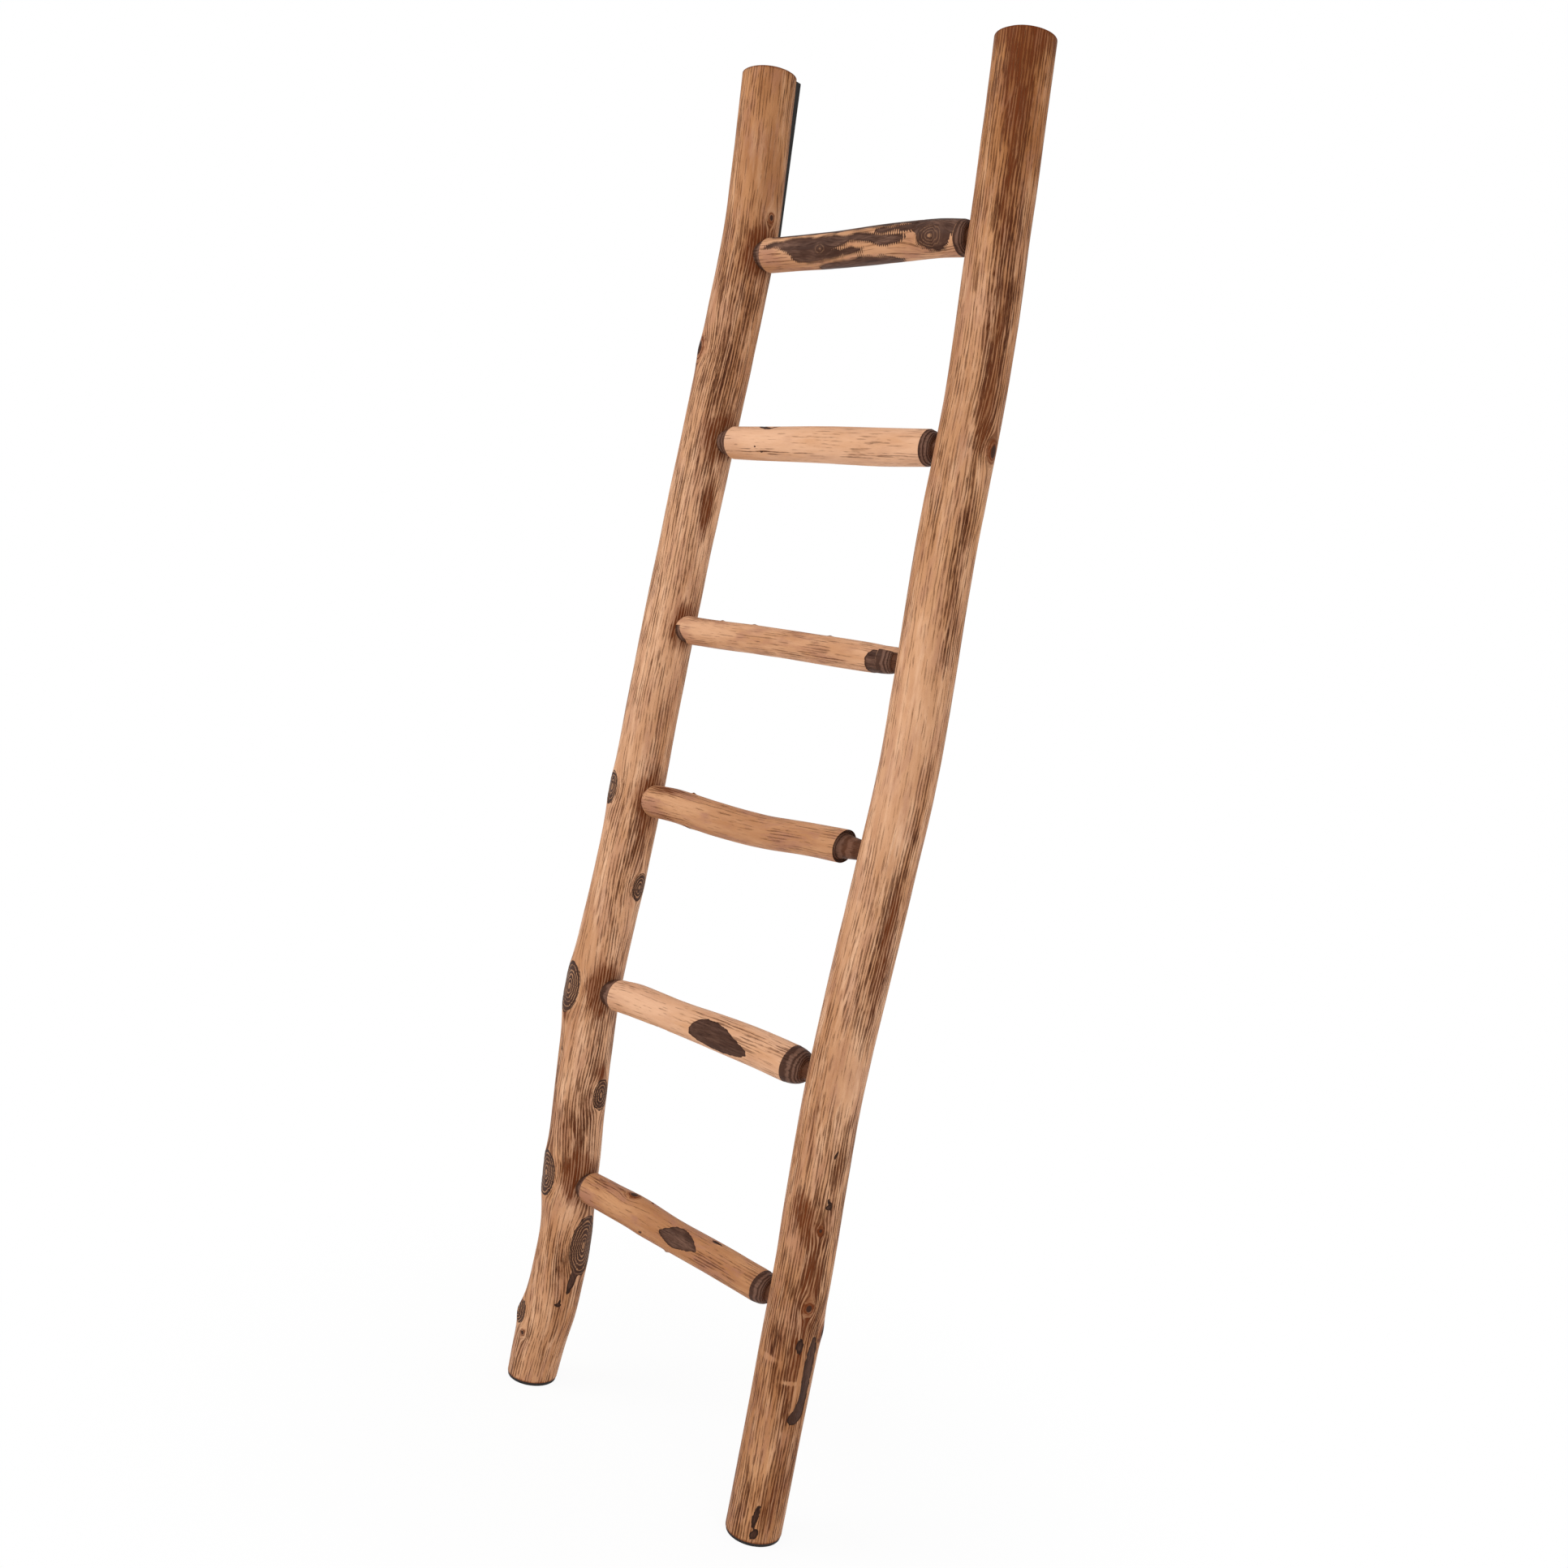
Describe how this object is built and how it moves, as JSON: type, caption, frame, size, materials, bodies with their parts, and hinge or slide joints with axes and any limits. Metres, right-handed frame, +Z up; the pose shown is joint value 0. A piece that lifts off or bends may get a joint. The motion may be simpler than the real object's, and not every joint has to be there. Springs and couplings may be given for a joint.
{
  "type": "blanket ladder",
  "caption": "Rustic leaning blanket ladder of peeled, bowed log rails and tenoned log rungs, with foot and wall pads.",
  "frame": {"origin": "on the floor, at the middle of the ladder's overall footprint", "axes": "+Z up along the rails, +X along the rungs to the right rail, +Y to the back, at the wall. The ladder stands upright here; in use it leans back about 15 degrees about X, on the back edges of its foot pads"},
  "size_m": [0.5395, 0.0914, 1.8341],
  "materials": {
    "rail_wood": "clear satin on peeled log with dark streaks and stained knots",
    "rung_wood": "clear satin on peeled log with dark stained tenon ends",
    "pad_rubber": "matt black",
    "screw_steel": "dark zinc"
  },
  "bodies": {
    "root": {"left_rail": "rail_wood", "right_rail": "rail_wood", "rung_1": "rung_wood", "rung_2": "rung_wood", "rung_3": "rung_wood", "rung_4": "rung_wood", "rung_5": "rung_wood", "rung_6": "rung_wood", "left_foot_pad": "pad_rubber", "right_foot_pad": "pad_rubber", "left_wall_pad": "pad_rubber", "right_wall_pad": "pad_rubber", "tenon_screws": "screw_steel"}
  },
  "joints": []
}
